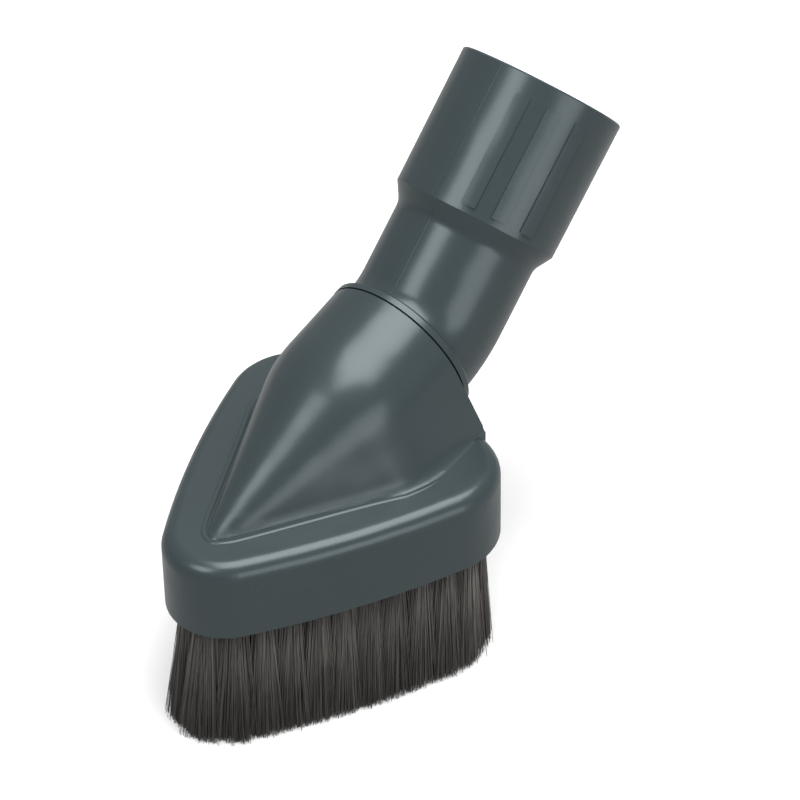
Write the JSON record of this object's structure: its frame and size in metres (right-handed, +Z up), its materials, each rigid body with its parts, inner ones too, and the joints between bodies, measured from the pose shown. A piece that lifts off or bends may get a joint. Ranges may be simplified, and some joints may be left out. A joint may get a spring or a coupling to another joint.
{
  "type": "vacuum dusting brush",
  "caption": "Hollow iron-shaped brush head with a ring of soft bristle tufts and a bent tube that swivels in its neck and takes a vacuum cleaner's wand in a round cuff.",
  "frame": {"origin": "on the surface that the bristle tips rest on, at the middle of the overall width and length", "axes": "+Z up from the bristle tips, -Y towards the head's tip, +X across the head"},
  "size_m": [0.0722, 0.1398, 0.1249],
  "materials": {
    "head_plastic": "semi-gloss moulded, dark green-grey",
    "elbow_plastic": "semi-gloss moulded, dark green-grey",
    "plate_plastic": "moulded, black",
    "bristle": "soft dark brown-grey hair",
    "staple_wire": "bright flat wire"
  },
  "bodies": {
    "head": {"head_shell": "head_plastic", "brush_plate": "plate_plastic", "outer_tufts": "bristle", "inner_tufts": "bristle", "tuft_staples": "staple_wire"},
    "elbow": {"swivel_elbow": "elbow_plastic"}
  },
  "joints": [
    {"name": "neck_swivel", "type": "hinge", "parent": "head", "child": "elbow", "pos_m": [0, 0.00448, 0.0658], "axis": [0, 0.9588, 0.284], "continuous": true}
  ]
}
